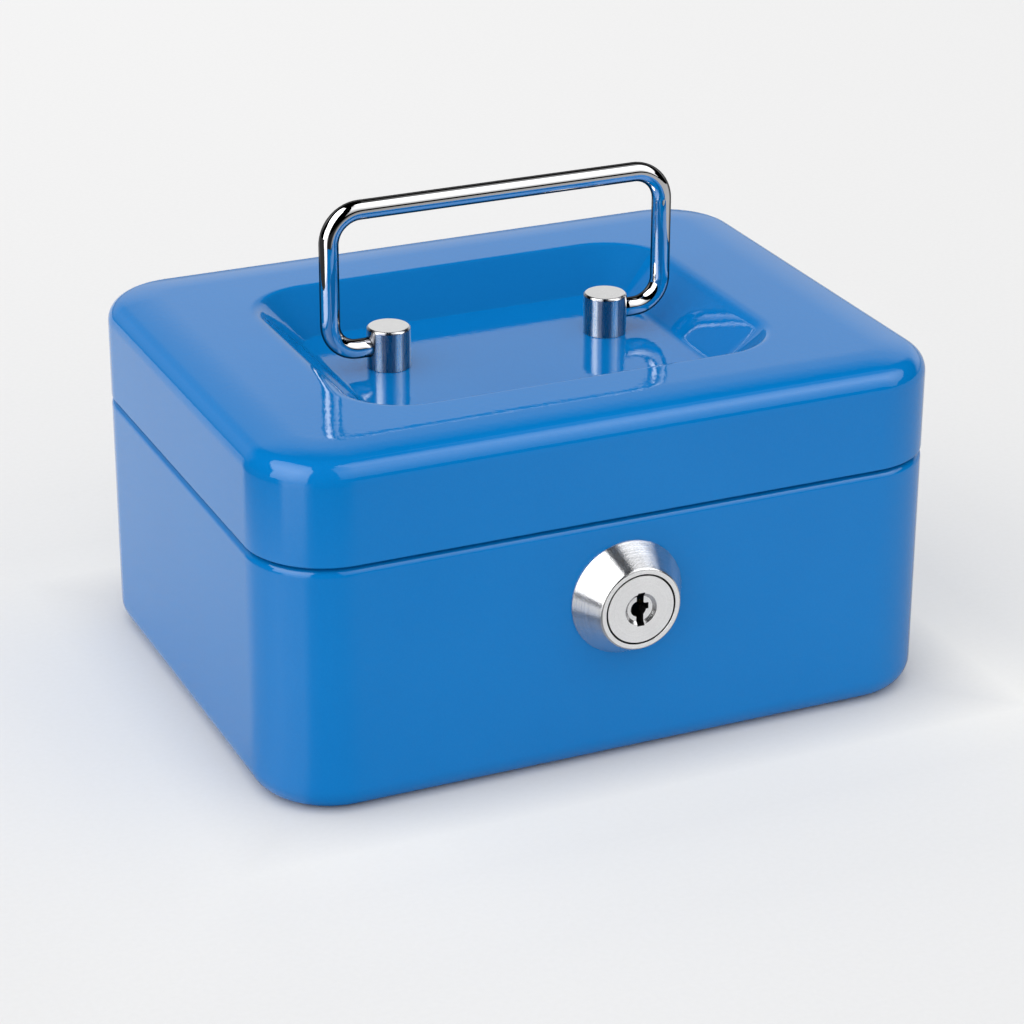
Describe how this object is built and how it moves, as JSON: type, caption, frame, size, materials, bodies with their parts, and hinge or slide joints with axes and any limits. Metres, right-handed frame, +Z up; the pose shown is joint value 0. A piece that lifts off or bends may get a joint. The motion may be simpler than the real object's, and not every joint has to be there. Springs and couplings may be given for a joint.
{
  "type": "cash box",
  "caption": "Small steel cash box with a hinged lid, a wire handle folding into a recess, a turning wafer cam lock in a conical nose, and a lift-out coin tray.",
  "frame": {"origin": "centre of the case's flat underside", "axes": "+X from left to right seen from the front, +Y from the lock to the hinge, +Z up"},
  "size_m": [0.152, 0.1321, 0.1067],
  "materials": {
    "case_paint": "gloss blue enamel on sheet steel",
    "handle_chrome": "bright chrome",
    "post_metal": "satin chrome, turned",
    "lock_nose": "bright chrome, finely turned",
    "lock_face": "satin chrome",
    "zinc_steel": "zinc plated",
    "wafer_brass": "stamped",
    "spring_steel": "bright",
    "tray_plastic": "fine grain, black"
  },
  "bodies": {
    "base": {"base_shell": "case_paint", "hinge_leaf_base": "case_paint", "hinge_pin": "zinc_steel", "hinge_rivets_base": "case_paint", "lock_housing": "lock_nose", "lock_nut": "zinc_steel", "lock_washer": "zinc_steel", "tray_ledge_left": "case_paint", "tray_ledge_right": "case_paint"},
    "lid": {"lid_shell": "case_paint", "hinge_leaf_lid": "case_paint", "hinge_rivets_lid": "case_paint", "handle_post_left": "post_metal", "handle_post_right": "post_metal", "post_screws": "zinc_steel", "post_washers": "zinc_steel", "lid_keeper": "case_paint"},
    "handle": {"handle": "handle_chrome"},
    "lock_plug": {"lock_plug": "lock_face", "lock_wafers": "wafer_brass", "wafer_springs": "spring_steel", "lock_cam": "zinc_steel", "cam_screw": "zinc_steel"},
    "coin_tray": {"coin_tray": "tray_plastic"}
  },
  "joints": [
    {"name": "lid_hinge", "type": "hinge", "parent": "base", "child": "lid", "pos_m": [0, 0.06155, 0.05475], "axis": [-1, 0, 0], "range_deg": [0, 107]},
    {"name": "handle_hinge", "type": "hinge", "parent": "lid", "child": "handle", "pos_m": [0, 0.0058, 0.0736], "axis": [1, 0, 0], "range_deg": [-77, 90]},
    {"name": "lock_turn", "type": "hinge", "parent": "base", "child": "lock_plug", "pos_m": [0, -0.059, 0.0373], "axis": [0, 1, 0], "range_deg": [0, 90]},
    {"name": "tray_lift", "type": "slide", "parent": "base", "child": "coin_tray", "axis": [0, 0, 1], "range_m": [0, 0.016]}
  ]
}
